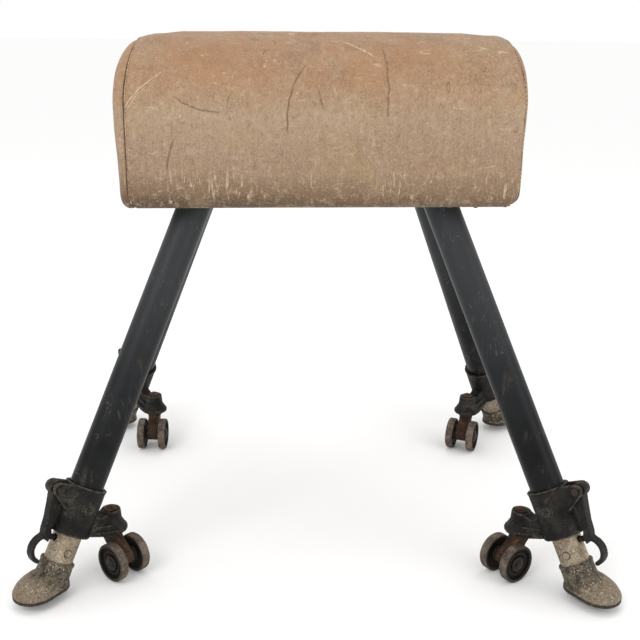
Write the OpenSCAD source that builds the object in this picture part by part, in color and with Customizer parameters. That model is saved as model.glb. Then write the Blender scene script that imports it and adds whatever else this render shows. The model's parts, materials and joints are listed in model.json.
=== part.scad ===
// Vaulting buck: a padded leather body on four splayed telescopic legs.
// Each leg ends in a clamped casting that carries a sprung latch lever on its outer side
// and a swivelling twin-wheel caster on its inner side.
// Frame: millimetres, X along the body, Z up, origin on the floor under the middle.
// The buck stands in its transport position: legs fully in, weight on the casters,
// the feet hanging just clear of the floor.

/* [Body] */
// Length of the padded body
body_l = 584; // [560:1:640]
// Width of the padded body
body_w = 356; // [340:1:380]
// Height of the padded body
body_h = 240; // [225:1:250]
// Radius of the crown along the two long top edges
crown_r = 95; // [80:1:105]
// Radius of the top corners seen from the front
end_r = 58; // [45:1:65]
// Radius of the bottom corners
hem_r = 16; // [12:1:20]
// Radius of the four upright corners
corner_r = 18; // [14:1:24]
// Thickness of the leather
leather_t = 4; // [3:0.5:5]
// Width of the sewn-on end panels' turned edge
end_panel_edge = 14; // [10:1:20]

/* [Legs] */
// Distance of each leg's foot from the middle, along X
foot_x = 389.5; // [380:0.5:400]
// Distance of each leg's foot from the middle, along Y
foot_y = 312.8; // [305:0.1:320]
// Lean of the legs from the vertical
leg_tilt = 29; // [28:0.5:30]
// Direction in which the legs splay, from X
leg_azimuth = 45; // [43:1:47]
// Height of the soles over the floor while the casters carry the weight
sole_z = 14; // [12:1:18]
// Outer radius of the upper leg tube
outer_r = 25; // [24.5:0.1:25.5]
// Outer radius of the lower leg tube
inner_r = 21.2; // [21:0.1:21.4]
// Wall thickness of both tubes
tube_t = 2.9; // [2.5:0.1:3.2]
// Pitch of the latch holes in the lower tube
hole_pitch = 50; // [40:1:60]
// Number of latch holes
hole_count = 9; // [6:1:9]

/* [Latch casting] */
// Outer radius of the casting's sleeve
sleeve_r = 30; // [29:0.5:31]
// Lower end of the sleeve, measured along the leg from the sole
sleeve_s = 86; // [84:1:88]
// Length of the sleeve
sleeve_l = 72; // [70:1:76]
// Length of the guide bore for the lower tube
guide_l = 18; // [14:1:20]
// Distance of the hinge pin from the leg's axis
pin_u = 51; // [49:0.5:53]
// Hinge pin's place along the leg
pin_s = 146; // [144:1:148]
// Radius of the hinge pin
pin_r = 4; // [3.5:0.1:4.5]
// Latch peg's place along the leg
peg_s = 76; // [74:1:78]
// Distance of the set screw along the leg
screw_s = 129; // [126:1:132]

/* [Casters] */
// Distance of the swivel axis from the foot, towards the middle
swivel_h = 115; // [113:1:118]
// Radius of the wheels
wheel_r = 29; // [28:0.5:30]
// Width of one wheel
wheel_t = 13; // [11:0.5:14]
// Gap between a pair of wheels
wheel_gap = 27; // [25:0.5:30]
// Distance of the axle behind the swivel axis
trail = 27; // [24:1:28]
// Radius of the axle
axle_r = 5; // [4:0.5:6]

/* [Hidden] */
$fn = 72;
fit = 0.05;                     // radial clearance of a shaft in its bore
gap = 0.3;                      // clearance between faces that move past each other
CORNERS = ["front_left", "front_right", "back_left", "back_right"];
SIDE_X = [-1, 1, -1, 1];
SIDE_Y = [-1, -1, 1, 1];
SWIVEL = [318, 214, 268, 246];  // direction each caster trails in, from X
PER_LEG = ["outer_tube", "latch_collar", "latch_lever", "inner_tube", "foot", "foot_sole",
           "foot_rivet", "caster_fork", "caster_axle", "caster_wheel_a", "caster_wheel_b"];
ONCE = ["leather_cover", "end_panel_left", "end_panel_right", "padding", "top_board",
        "side_boards", "end_boards", "base_board", "leg_sockets", "socket_bolts",
        "upholstery_tacks", "collar_set_screws", "lever_pins", "lever_springs"];

// Heights of the body, from the floor
body_z = 545;
board_z = body_z + leather_t;
base_t = 20;
core_l = 500;
core_w = 300;
core_top = board_z + 180;
board_t = 18;
board_in = 17;                  // distance of the base board's edge from the body's outside
hem_in = 38;                    // width of the hem turned in under the base
tack_in = 31;                   // distance of the tacks from the body's edge
socket_t = 8;                   // thickness of a socket's flange
socket_z = board_z + base_t;    // the flanges lie on the base board, inside the body
socket_h = 50;
socket_half = 48;               // half the side of a socket's flange
socket_in = [12, 21];           // how far its middle lies inwards of where the leg meets the board
bolt_inset = 11;
bolt_r = 4;
bolt_depth = 14;
tack_pitch = 38;

// Run of the leg's axis from its foot up to the underside of the base board
rise = board_z - sole_z;
run = rise * tan(leg_tilt);
top_x = foot_x - run * cos(leg_azimuth);
top_y = foot_y - run * sin(leg_azimuth);

// Stations along the leg, from the sole
outer_s = sleeve_s + guide_l;
sleeve_top = sleeve_s + sleeve_l;
inner_top = 585;
neck_top = 45;
spigot_top = 75;
socket_floor = 22;              // floor of the foot's socket
rivet_s = 60;
rivet_r = 5;
screw_a = 80;                   // direction of the set screw and rivet round the leg
neck_r = 24.5;

// Latch lever
ear_in = 8.2;                   // inner and outer faces of the two ears, from the leg's plane
ear_out = 13.4;
knuckle_r = 10;
lever_half = 7;                 // half the width of the lever
spring_v = 1.8;                 // the knuckle ends here and the spring begins
handle_u = 33;                  // centre of the finger loop
handle_s = 58;
handle_r = 19.5;
handle_t = 6.5;

// Caster bracket and caster, heights over the sole or the floor as named
flange_z = 52;                  // over the sole
flange_t = 8;
boss_top = 86;                  // over the sole
stem_r = 8;
fork_top = flange_z + sole_z - gap;
fork_half = 10.5;
swivel_x = foot_x - swivel_h * cos(leg_azimuth);
swivel_y = foot_y - swivel_h * sin(leg_azimuth);

sole_t = 4;
heel = [-8, 26];                // place and radius of the heel's and the toe's rounding
toe = [19, 31];

// ---- places ----

// The frame of one corner: X outwards, Z up, origin where the leg's axis meets the sole
module corner(i) {
  mirror([SIDE_X[i] < 0 ? 1 : 0, 0, 0])
    mirror([0, SIDE_Y[i] < 0 ? 1 : 0, 0])
      translate([foot_x, foot_y, sole_z])
        rotate([0, 0, leg_azimuth])
          children();
}

// The frame of one leg: Z up along its axis, X on its outer and upper side
module leg(i) {
  corner(i) rotate([0, -leg_tilt, 0]) children();
}

// The frame of one caster: X the way it trails, Z the swivel axis, origin on the floor
module caster(i) {
  translate([SIDE_X[i] * swivel_x, SIDE_Y[i] * swivel_y, 0])
    rotate([0, 0, SWIVEL[i]])
      children();
}

// ---- shared shapes ----

// A plate in the XZ plane, from y0 to y1
module plate_xz(y0, y1) {
  translate([0, y1, 0]) rotate([90, 0, 0]) linear_extrude(y1 - y0) children();
}

// A plate in the YZ plane, from x0 to x1
module plate_yz(x0, x1) {
  translate([x0, 0, 0]) rotate([90, 0, 90]) linear_extrude(x1 - x0) children();
}

// A shaft along Y
module shaft_y(r, y0, y1) {
  translate([0, y0, 0]) rotate([-90, 0, 0]) cylinder(r = r, h = y1 - y0);
}

// A rectangle standing on the X axis, with its own radius at the top and the bottom corners
module loaf_2d(w, h, top, bottom) {
  for (side = [-1, 1]) {
    translate([side * (w / 2 - top), h - top]) circle(r = top);
    translate([side * (w / 2 - bottom), bottom]) circle(r = bottom);
  }
  translate([-w / 2 + top, bottom]) square([w - 2 * top, h - bottom]);
  translate([-w / 2 + bottom, 0]) square([w - 2 * bottom, h - top]);
  translate([-w / 2, bottom]) square([w, h - top - bottom]);
}

// The rounded body, drawn in by a margin all round but the bottom
module loaf(inset, z) {
  l = body_l - 2 * inset;
  w = body_w - 2 * inset;
  h = body_z + body_h - inset - z;
  translate([0, 0, z]) intersection() {
    plate_yz(-l / 2, l / 2) loaf_2d(w, h, crown_r - inset, hem_r - inset);
    plate_xz(-w / 2, w / 2) loaf_2d(l, h, end_r - inset, hem_r - inset);
    translate([0, -w / 2, 0]) linear_extrude(h) loaf_2d(l, w, corner_r - inset, corner_r - inset);
  }
}

// The outline round two circles on the X axis, each given by its place and its radius
module egg_2d(a, b, steps = 36) {
  lean = asin((b[1] - a[1]) / (b[0] - a[0]));
  polygon(concat(arc([b[0], 0], b[1], -90 - lean, 90 + lean, steps),
                 arc([a[0], 0], a[1], 90 + lean, 270 - lean, steps)));
}

// A sector of a ring round a point, as a polygon
function arc(c, r, a0, a1, steps) =
  [for (k = [0:steps]) c + r * [cos(a0 + (a1 - a0) * k / steps), sin(a0 + (a1 - a0) * k / steps)]];

// ---- body ----

module leather() {
  difference() {
    loaf(0, body_z);
    loaf(leather_t, board_z);
    cube([body_l - 2 * hem_in, body_w - 2 * hem_in, 2 * board_z], center = true);
  }
}

module leather_cover() {
  seam = body_l - 2 * end_panel_edge;
  color("tan") intersection() {
    leather();
    translate([-seam / 2, -body_w, body_z]) cube([seam, 2 * body_w, body_h]);
  }
}

module end_panel(side) {
  color("peru") intersection() {
    leather();
    translate([side * (body_l - end_panel_edge) / 2, 0, body_z + body_h / 2])
      cube([end_panel_edge, 2 * body_w, body_h], center = true);
  }
}

module end_panel_left() { end_panel(-1); }

module end_panel_right() { end_panel(1); }

// The base board without its holes
module base_block() {
  translate([-body_l / 2 + board_in, -body_w / 2 + board_in, board_z])
    cube([body_l - 2 * board_in, body_w - 2 * board_in, base_t]);
}

module padding() {
  color("ivory") difference() {
    loaf(leather_t, board_z);
    base_block();
    translate([-core_l / 2, -core_w / 2, board_z]) cube([core_l, core_w, core_top - board_z]);
  }
}

module top_board() {
  color("burlywood")
    translate([-core_l / 2, -core_w / 2, core_top - board_t]) cube([core_l, core_w, board_t]);
}

module side_boards() {
  z = board_z + base_t;
  color("burlywood") for (side = [0, 1])
    translate([-core_l / 2, -core_w / 2 + side * (core_w - board_t), z])
      cube([core_l, board_t, core_top - board_t - z]);
}

module end_boards() {
  z = board_z + base_t;
  color("burlywood") for (side = [0, 1])
    translate([-core_l / 2 + side * (core_l - board_t), -core_w / 2 + board_t, z])
      cube([board_t, core_w - 2 * board_t, core_top - board_t - z]);
}

module base_board() {
  color("burlywood") difference() {
    base_block();
    for (i = [0:3]) leg(i) cylinder(r = outer_r + gap, h = rise * 2);
    socket_bolt_places() translate([0, 0, -bolt_depth - 0.2])
      cylinder(r = bolt_r + fit, h = bolt_depth + 1);
  }
}

module upholstery_tacks() {
  half_l = body_l / 2 - tack_in;
  half_w = body_w / 2 - tack_in;
  nx = floor((2 * half_l - tack_pitch) / tack_pitch);
  ny = floor((2 * half_w - tack_pitch) / tack_pitch);
  color("goldenrod") {
    for (side = [-1, 1], k = [-nx / 2:nx / 2]) tack(k * tack_pitch, side * half_w);
    for (side = [-1, 1], k = [-ny / 2:ny / 2]) tack(side * half_l, k * tack_pitch);
  }
}

module tack(x, y) {
  translate([x, y, body_z - 2.4]) cylinder(r1 = 2.6, r2 = 4.6, h = 2.4);
}

// ---- leg sockets on the base board, inside the body ----

module leg_sockets() {
  color("dimgray") for (i = [0:3]) difference() {
    union() {
      socket_plate(i);
      intersection() {
        leg(i) cylinder(r = outer_r + 6, h = rise * 2);
        translate([-body_l, -body_w, socket_z]) cube([2 * body_l, 2 * body_w, socket_h]);
      }
    }
    leg(i) cylinder(r = outer_r + fit, h = rise * 2);
    socket_bolt_places() cylinder(r = bolt_r + fit, h = 3 * socket_t, center = true);
  }
}

// The middle of a socket's flange, on its lower face
module socket_place(i) {
  translate([SIDE_X[i] * (top_x - socket_in[0]), SIDE_Y[i] * (top_y - socket_in[1]), socket_z])
    children();
}

module socket_plate(i) {
  socket_place(i) linear_extrude(socket_t) for (turn = [0, 90]) rotate(turn) {
    square([2 * socket_half, 2 * (socket_half - bolt_inset)], center = true);
    for (side = [-1, 1]) translate([side * (socket_half - bolt_inset), socket_half - bolt_inset])
      circle(r = bolt_inset);
  }
}

// The four corners of each socket's flange, on its lower face
module socket_bolt_places() {
  away = socket_half - bolt_inset;
  for (i = [0:3], dx = [-away, away], dy = [-away, away])
    socket_place(i) translate([dx, dy, 0]) children();
}

module socket_bolts() {
  color("gray") socket_bolt_places() {
    translate([0, 0, socket_t]) cylinder(r = 7.5, h = 5, $fn = 6);
    translate([0, 0, -bolt_depth]) cylinder(r = bolt_r, h = bolt_depth + socket_t + 1);
  }
}

// ---- legs ----

module outer_tube(i) {
  color("#2b2f33") intersection() {
    leg(i) translate([0, 0, outer_s]) difference() {
      cylinder(r = outer_r, h = rise * 2);
      translate([0, 0, -1]) cylinder(r = outer_r - tube_t, h = rise * 2 + 2);
    }
    cube([2 * body_l, 2 * body_w, 2 * (socket_z + socket_h - 4)], center = true);
  }
}

module inner_tube(i) {
  color("#a39c86") leg(i) difference() {
    translate([0, 0, socket_floor]) cylinder(r = inner_r, h = inner_top - socket_floor);
    cylinder(r = inner_r - tube_t, h = 2 * inner_top);
    for (k = [0:hole_count - 1]) translate([0, 0, peg_s + k * hole_pitch])
      rotate([0, 90, 0]) cylinder(r = 5.4, h = 2 * inner_r);
    round_the_leg(rivet_s) cylinder(r = rivet_r + 1.1, h = 4 * inner_r, center = true);
  }
}

// Points a shaft's Z away from the leg's axis, on the side where the set screw sits
module round_the_leg(s) {
  translate([0, 0, s]) rotate([0, 0, screw_a]) rotate([0, 90, 0]) children();
}

module foot(i) {
  color("#4a4740") corner(i) difference() {
    union() {
      translate([0, 0, sole_t]) linear_extrude(5) egg_2d(heel, toe);
      foot_skirt();
      rotate([0, -leg_tilt, 0]) {
        translate([0, 0, socket_floor]) cylinder(r = neck_r, h = neck_top - socket_floor);
        translate([0, 0, neck_top - 4]) cylinder(r = neck_r + 1.2, h = 4);
      }
    }
    rotate([0, -leg_tilt, 0]) translate([0, 0, socket_floor])
      cylinder(r = inner_r + 2 * fit, h = neck_top);
  }
  color("#4a4740") leg(i) difference() {
    translate([0, 0, socket_floor - 6])
      cylinder(r = inner_r - tube_t - 2 * fit, h = spigot_top - socket_floor + 6);
    round_the_leg(rivet_s) cylinder(r = rivet_r + fit, h = 4 * inner_r, center = true);
  }
}

// The shoe's upper, drawn in from the sole's outline to just outside the neck
module foot_skirt() {
  hull() {
    translate([0, 0, sole_t + 4]) linear_extrude(1)
      egg_2d(heel - [0, 2], toe - [0, 2], 22);
    translate([0, 0, sole_t + 12]) linear_extrude(1)
      egg_2d(heel - [3, 4.5], toe - [4, 7], 22);
    rotate([0, -leg_tilt, 0]) translate([0, 0, 30]) cylinder(r = neck_r + 0.9, h = 1, $fn = 48);
  }
}

module foot_sole(i) {
  color("#26231f") corner(i) linear_extrude(sole_t) egg_2d(heel, toe);
}

module foot_rivet(i) {
  color("#8d866f") leg(i) round_the_leg(rivet_s)
    cylinder(r = rivet_r, h = 2 * (inner_r + 0.5), center = true);
}

// ---- latch casting ----

module latch_collar(i) {
  color("#33322f") difference() {
    union() {
      leg(i) sleeve();
      corner(i) caster_bracket();
    }
    leg(i) {
      cylinder(r = inner_r + fit, h = sleeve_top + 1);
      translate([0, 0, outer_s]) cylinder(r = outer_r + fit, h = sleeve_l);
      round_the_leg(screw_s) cylinder(r = 4 + fit, h = 2 * sleeve_r);
      translate([pin_u, 0, pin_s]) shaft_y(pin_r + fit, -2 * ear_out, 2 * ear_out);
    }
    corner(i) translate([-swivel_h, 0, 0]) cylinder(r = stem_r + fit, h = 2 * boss_top);
  }
}

// The sleeve with its lip, the set screw's boss and the two ears of the hinge
module sleeve() {
  translate([0, 0, sleeve_s]) cylinder(r = sleeve_r, h = sleeve_l);
  translate([0, 0, sleeve_top - 4]) cylinder(r1 = sleeve_r, r2 = sleeve_r + 1.6, h = 4);
  translate([0, 0, sleeve_s]) cylinder(r = sleeve_r + 1, h = 3);
  round_the_leg(screw_s) translate([0, 0, sleeve_r - 4]) {
    cylinder(r1 = 11, r2 = 10, h = 6.5);
    cylinder(r = 7, h = 8.5);
  }
  for (side = [0, 1]) mirror([0, side, 0]) plate_xz(ear_in, ear_out) {
    translate([pin_u, pin_s]) circle(r = knuckle_r);
    polygon([[sleeve_r - 14, sleeve_top], [pin_u, pin_s + knuckle_r],
             [pin_u + 4, pin_s - knuckle_r + 1], [sleeve_r, pin_s - 26], [sleeve_r - 8, pin_s - 30]]);
  }
}

// The flange, the boss and the web that carry the caster, in the corner's frame
module caster_bracket() {
  translate([-swivel_h, 0, flange_z]) {
    cylinder(r = 24, h = flange_t - 2);
    translate([0, 0, flange_t - 2.5]) cylinder(r1 = 23, r2 = 15.5, h = 13);
    cylinder(r1 = 17.5, r2 = 14.5, h = boss_top - flange_z);
  }
  bracket_fan(24, 15, 6);
  bracket_fan(17.5, 13, 14);
  plate_xz(-11, 11)
    polygon([[-swivel_h, flange_z + 2], [-swivel_h, boss_top - 1], [-swivel_h + 12, boss_top - 2],
             [-swivel_h + 23, boss_top - 5], [-80, boss_top + 4], [-70, boss_top + 6],
             [-66, 64], [-67, 62], [-98, flange_z + 1]]);
}

// A plate that narrows from the flange to the sleeve's lower end, its underside rising to it
module bracket_fan(wide, narrow, thick) {
  intersection() {
    translate([0, 0, flange_z]) linear_extrude(40)
      polygon([[-swivel_h, -wide], [-swivel_h, wide], [-66, narrow], [-66, -narrow]]);
    plate_xz(-wide, wide)
      polygon([[-swivel_h, flange_z], [-swivel_h, flange_z + thick], [-66, 62 + thick], [-66, 62],
               [-98, flange_z]]);
  }
}

module collar_set_screws() {
  color("#55504a") for (i = [0:3]) leg(i) round_the_leg(screw_s) difference() {
    translate([0, 0, outer_r + 2 * fit]) cylinder(r = 4, h = 9);
    translate([-0.7, -5, outer_r + 7.6]) cube([1.4, 10, 5]);
  }
}

module lever_pins() {
  color("#6b655c") for (i = [0:3]) leg(i) translate([pin_u, 0, pin_s]) {
    shaft_y(pin_r, -ear_out - gap, ear_out + gap);
    for (side = [0, 1]) mirror([0, side, 0]) shaft_y(pin_r + 1.6, ear_out + 0.1, ear_out + 1.8);
  }
}

// A round wire swept along a path of points, closed at both ends
module wire(path, r, sides) {
  n = len(path);
  rings = [for (k = [0:n - 1])
    let (t = path[min(k + 1, n - 1)] - path[max(k - 1, 0)],
         out = [path[k][0], 0, path[k][2]] / norm([path[k][0], path[k][2]]),
         up = cross(t / norm(t), out))
    for (a = [0:sides - 1]) path[k] + r * (cos(360 * a / sides) * out + sin(360 * a / sides) * up)];
  walls = [for (k = [0:n - 2], a = [0:sides - 1])
    let (b = (a + 1) % sides)
    [k * sides + a, k * sides + b, (k + 1) * sides + b, (k + 1) * sides + a]];
  ends = [[for (a = [0:sides - 1]) sides - 1 - a], [for (a = [0:sides - 1]) (n - 1) * sides + a]];
  polyhedron(points = rings, faces = concat(walls, ends));
}

// Torsion springs round the hinge pins, beside the levers' knuckles
module lever_springs() {
  turns = 3;
  wire_r = 0.75;
  coil_r = 6.2;
  v0 = spring_v + wire_r + gap;
  v1 = ear_in - wire_r - gap;
  path = [for (k = [0:turns * 14])
    [coil_r * cos(k * 360 / 14), v0 + (v1 - v0) * k / (turns * 14), coil_r * sin(k * 360 / 14)]];
  color("silver") for (i = [0:3]) leg(i) translate([pin_u, 0, pin_s]) wire(path, wire_r, 8);
}

module latch_lever(i) {
  color("#3a3733") leg(i) difference() {
    union() {
      translate([pin_u, 0, pin_s]) shaft_y(knuckle_r - 0.5, -ear_in + gap, spring_v);
      plate_xz(-lever_half, lever_half) lever_shank_2d();
      plate_xz(-lever_half + 1, lever_half - 1) finger_loop_2d();
      translate([inner_r + gap, 0, peg_s]) rotate([0, 90, 0]) cylinder(r1 = 4.2, r2 = 5, h = 18);
    }
    translate([pin_u, 0, pin_s]) {
      shaft_y(pin_r + fit, -2 * ear_out, 2 * ear_out);
      shaft_y(knuckle_r - 1.4, spring_v, 2 * ear_out);
    }
  }
}

// The straight arm from the knuckle down to the peg's block
module lever_shank_2d() {
  polygon([[pin_u - 7, pin_s - 4], [pin_u + 7, pin_s - 5], [pin_u + 2.5, 124], [pin_u - 3, 100],
           [pin_u - 4.2, 86], [pin_u - 7, 76], [handle_u, 68], [handle_u - 1, 81],
           [pin_u - 16, 86], [pin_u - 15, 100], [pin_u - 13, 124]]);
}

// The loop that a finger pulls: an arc that swings out and curls back in
module finger_loop_2d() {
  c = [handle_u, handle_s];
  start = 62;
  finish = -78;
  polygon(concat(arc(c, handle_r + handle_t / 2, start, finish, 20),
                 arc(c, handle_r - handle_t / 2, finish, start, 20)));
  translate(arc(c, handle_r, finish, start, 1)[0]) circle(r = handle_t / 2);
}

// ---- casters ----

module caster_fork(i) {
  color("#5a4636") caster(i) difference() {
    union() {
      translate([0, 0, fork_top - 5]) cylinder(r = stem_r, h = sole_z + boss_top + 1 - fork_top + 5);
      translate([0, 0, sole_z + boss_top + gap]) cylinder(r = 10, h = 2);
      translate([0, 0, sole_z + boss_top + gap + 2]) cylinder(r1 = 7, r2 = 4.5, h = 2.6);
      translate([0, 0, fork_top - 3.5]) cylinder(r = 17, h = 3.5);
      translate([0, 0, fork_top - 9]) cylinder(r = 12.5, h = 9);
      plate_xz(-fork_half, fork_half) fork_2d();
      translate([trail, 0, wheel_r]) shaft_y(10, -wheel_gap / 2 + gap, wheel_gap / 2 - gap);
    }
    translate([trail, 0, wheel_r]) shaft_y(axle_r + fit, -wheel_gap, wheel_gap);
  }
}

module fork_2d() {
  translate([trail, wheel_r]) circle(r = 12.5);
  polygon([[-12, fork_top - 2], [-12, fork_top - 10], [trail - 11.5, wheel_r - 5],
           [trail + 11.5, wheel_r + 5], [13, fork_top - 8], [13, fork_top - 2]]);
}

module caster_axle(i) {
  hub = wheel_gap / 2 + wheel_t - 1;
  color("#6f6a62") caster(i) translate([trail, 0, wheel_r]) {
    shaft_y(axle_r, -hub - 1, hub + 1);
    for (side = [0, 1]) mirror([0, side, 0]) translate([0, hub + gap, 0]) rotate([-90, 0, 0]) {
      cylinder(r = 8, h = 1);
      translate([0, 0, 1]) cylinder(r1 = 7, r2 = 3.5, h = 1.6);
    }
  }
}

// A wheel with a crowned tread and a dished, ringed outer face, its inner face at y = 0
module wheel(i, side) {
  rim = wheel_r - 4.5;
  color("#6e655a") caster(i) mirror([0, side < 0 ? 1 : 0, 0])
    translate([trail, wheel_gap / 2, wheel_r]) rotate([-90, 0, 0]) rotate_extrude()
      polygon([[axle_r + fit, 0], [12, 0], [13, 1.5], [rim - 1, 1.5], [rim, 0], [wheel_r - 1.2, 0],
               [wheel_r - 0.2, 1.2], [wheel_r, 0.4 * wheel_t], [wheel_r, 0.6 * wheel_t],
               [wheel_r - 0.2, wheel_t - 1.2], [wheel_r - 1.2, wheel_t], [rim, wheel_t],
               [rim - 1.2, wheel_t - 3.6], [18.5, wheel_t - 4], [18, wheel_t - 3], [16, wheel_t - 3],
               [15.5, wheel_t - 4.2], [12, wheel_t - 4.2], [11, wheel_t - 1],
               [axle_r + fit, wheel_t - 1]]);
}

module caster_wheel_a(i) { wheel(i, 1); }

module caster_wheel_b(i) { wheel(i, -1); }

// ---- the assembly ----

leather_cover();
end_panel_left();
end_panel_right();
padding();
top_board();
side_boards();
end_boards();
base_board();
leg_sockets();
socket_bolts();
upholstery_tacks();
collar_set_screws();
lever_pins();
lever_springs();
for (i = [0:3]) {
  outer_tube(i);
  latch_collar(i);
  latch_lever(i);
  inner_tube(i);
  foot(i);
  foot_sole(i);
  foot_rivet(i);
  caster_fork(i);
  caster_axle(i);
  caster_wheel_a(i);
  caster_wheel_b(i);
}
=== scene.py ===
"""Looks of a vintage vaulting buck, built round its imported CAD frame.

The frame's solids hold every real size. This script gives them their materials, and puts
finer pieces in place of those whose shape is soft or cast: the padded leather body with its
seams and stitches, the castings with their rounded edges, and the shoe-shaped feet.
All lengths are in metres, in the row frame: X along the body, Z up, the floor at z = 0.
"""
import json
import math

import bmesh
import bpy
import numpy as np
from mathutils import Matrix, Vector, noise


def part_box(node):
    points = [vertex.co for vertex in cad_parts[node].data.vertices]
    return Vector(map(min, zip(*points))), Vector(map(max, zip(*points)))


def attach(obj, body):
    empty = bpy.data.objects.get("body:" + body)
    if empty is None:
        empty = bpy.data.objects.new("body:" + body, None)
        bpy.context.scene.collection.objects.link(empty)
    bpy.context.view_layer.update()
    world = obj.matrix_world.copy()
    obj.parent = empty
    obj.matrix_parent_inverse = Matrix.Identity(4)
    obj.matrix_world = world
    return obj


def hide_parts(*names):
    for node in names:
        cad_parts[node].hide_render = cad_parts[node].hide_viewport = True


MM = 0.001

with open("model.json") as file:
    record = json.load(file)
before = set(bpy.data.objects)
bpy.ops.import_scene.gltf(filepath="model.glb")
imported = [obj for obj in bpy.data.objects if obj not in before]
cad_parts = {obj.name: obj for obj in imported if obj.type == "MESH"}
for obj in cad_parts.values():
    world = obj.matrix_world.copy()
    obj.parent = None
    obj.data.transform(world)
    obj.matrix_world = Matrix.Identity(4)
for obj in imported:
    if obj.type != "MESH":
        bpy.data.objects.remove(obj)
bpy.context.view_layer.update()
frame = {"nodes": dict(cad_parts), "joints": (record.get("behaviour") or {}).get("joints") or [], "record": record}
NODES = frame["nodes"]
RECORD = frame["record"]
JOINTS = {j["name"]: j for j in frame["joints"]}
MOUNTS = {m["name"]: m for m in RECORD["mounts"]}
CORNERS = ("front_left", "front_right", "back_left", "back_right")


# ---------------------------------------------------------------- places taken from the frame

def united_box(*nodes):
    """Lowest and highest corner of several CAD nodes together."""
    boxes = [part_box(n) for n in nodes]
    low = Vector([min(b[0][k] for b in boxes) for k in range(3)])
    high = Vector([max(b[1][k] for b in boxes) for k in range(3)])
    return low, high


class Leg:
    """One leg's own axes: u out from the axis and up, v sideways, s up along the axis from the sole."""

    def __init__(self, corner):
        down = Vector(JOINTS[f"leg_extension_{corner}"]["axis"]).normalized()
        level = Vector((down.x, down.y, 0)).normalized()
        self.out = level
        self.s = -down
        self.u = (level - self.s * level.dot(self.s)).normalized()
        self.v = Vector((-level.x, level.y, 0))
        sole = Vector(MOUNTS[f"sole_{corner}"]["pos_m"])
        self.foot = sole - level * 8 * MM
        self.corner = corner

    def at(self, u, s, v=0.0):
        """A point given along the leg's axes, in metres."""
        return self.foot + self.u * u + self.s * s + self.v * v

    def level(self, h, z, v=0.0):
        """A point given level with the floor: h outwards from the foot, z over the sole."""
        return self.foot + self.out * h + self.v * v + Vector((0, 0, z))


LEGS = {c: Leg(c) for c in CORNERS}
BODY_LOW, BODY_HIGH = united_box("leather_cover", "end_panel_left", "end_panel_right")
BODY_MID = (BODY_LOW + BODY_HIGH) / 2


# ---------------------------------------------------------------- meshes

def smooth(mesh):
    mesh.polygons.foreach_set("use_smooth", [True] * len(mesh.polygons))


def add_object(name, vertices, faces):
    mesh = bpy.data.meshes.new(name)
    mesh.from_pydata([tuple(v) for v in vertices], [], faces)
    mesh.validate()
    mesh.update()
    obj = bpy.data.objects.new(name, mesh)
    bpy.context.scene.collection.objects.link(obj)
    face_outwards(obj)
    smooth(mesh)
    return obj


def face_outwards(obj):
    bm = bmesh.new()
    bm.from_mesh(obj.data)
    bmesh.ops.recalc_face_normals(bm, faces=bm.faces)
    bm.to_mesh(obj.data)
    bm.free()


def apply_modifiers(obj):
    """Puts what the modifiers make in place of the object's mesh."""
    graph = bpy.context.evaluated_depsgraph_get()
    graph.update()
    made = bpy.data.meshes.new_from_object(obj.evaluated_get(graph))
    obj.modifiers.clear()
    obj.data = made


def get_points(obj):
    points = np.zeros(len(obj.data.vertices) * 3)
    obj.data.vertices.foreach_get("co", points)
    return points.reshape(-1, 3)


def set_points(obj, points):
    obj.data.vertices.foreach_set("co", np.asarray(points).ravel())
    obj.data.update()


def get_edges(obj):
    edges = np.zeros(len(obj.data.edges) * 2, dtype=np.int64)
    obj.data.edges.foreach_get("vertices", edges)
    return edges.reshape(-1, 2)


def get_normals(obj):
    normals = np.zeros(len(obj.data.vertices) * 3)
    obj.data.vertices.foreach_get("normal", normals)
    return normals.reshape(-1, 3)


def relax(obj, rounds, factor=0.5, hold=None):
    """Moves each vertex towards the mean of its neighbours; those in hold stay."""
    points, edges = get_points(obj), get_edges(obj)
    a, b = edges[:, 0], edges[:, 1]
    count = np.bincount(edges.ravel(), minlength=len(points)).reshape(-1, 1)
    for _ in range(rounds):
        total = np.zeros_like(points)
        np.add.at(total, a, points[b])
        np.add.at(total, b, points[a])
        moved = points + factor * (total / np.maximum(count, 1) - points)
        if hold is not None:
            moved[hold] = points[hold]
        points = moved
    set_points(obj, points)


def pit(obj, depth, size, seed=0.0, octaves=3):
    """Roughens a surface like sand-cast iron, by real movement of its vertices."""
    points, normals = get_points(obj), get_normals(obj)
    shift = Vector((seed, seed * 1.7, seed * 0.3))
    height = [noise.fractal(Vector(p) / size + shift, 1.0, 2.0, octaves) for p in points]
    set_points(obj, points + normals * (depth * np.array(height))[:, None])


def ring_faces(rings, sides):
    """The faces of a row of rings, each of the same number of points, with both ends closed."""
    faces = []
    for low in range(0, (rings - 1) * sides, sides):
        for i in range(sides):
            j = (i + 1) % sides
            faces.append((low + i, low + j, low + sides + j, low + sides + i))
    return faces + [tuple(range(sides)), tuple((rings - 1) * sides + i for i in range(sides))]


def tube_along(path, radius, sides=8):
    """Vertices and faces of a round tube along a path."""
    path = [Vector(p) for p in path]
    n = len(path)
    vertices = []
    across = None
    for k, p in enumerate(path):
        along = (path[min(k + 1, n - 1)] - path[max(k - 1, 0)]).normalized()
        across = along.orthogonal() if across is None else across - along * across.dot(along)
        across.normalize()
        other = along.cross(across)
        for i in range(sides):
            angle = 2 * math.pi * i / sides
            vertices.append(p + radius * (math.cos(angle) * across + math.sin(angle) * other))
    return vertices, ring_faces(n, sides)


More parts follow.
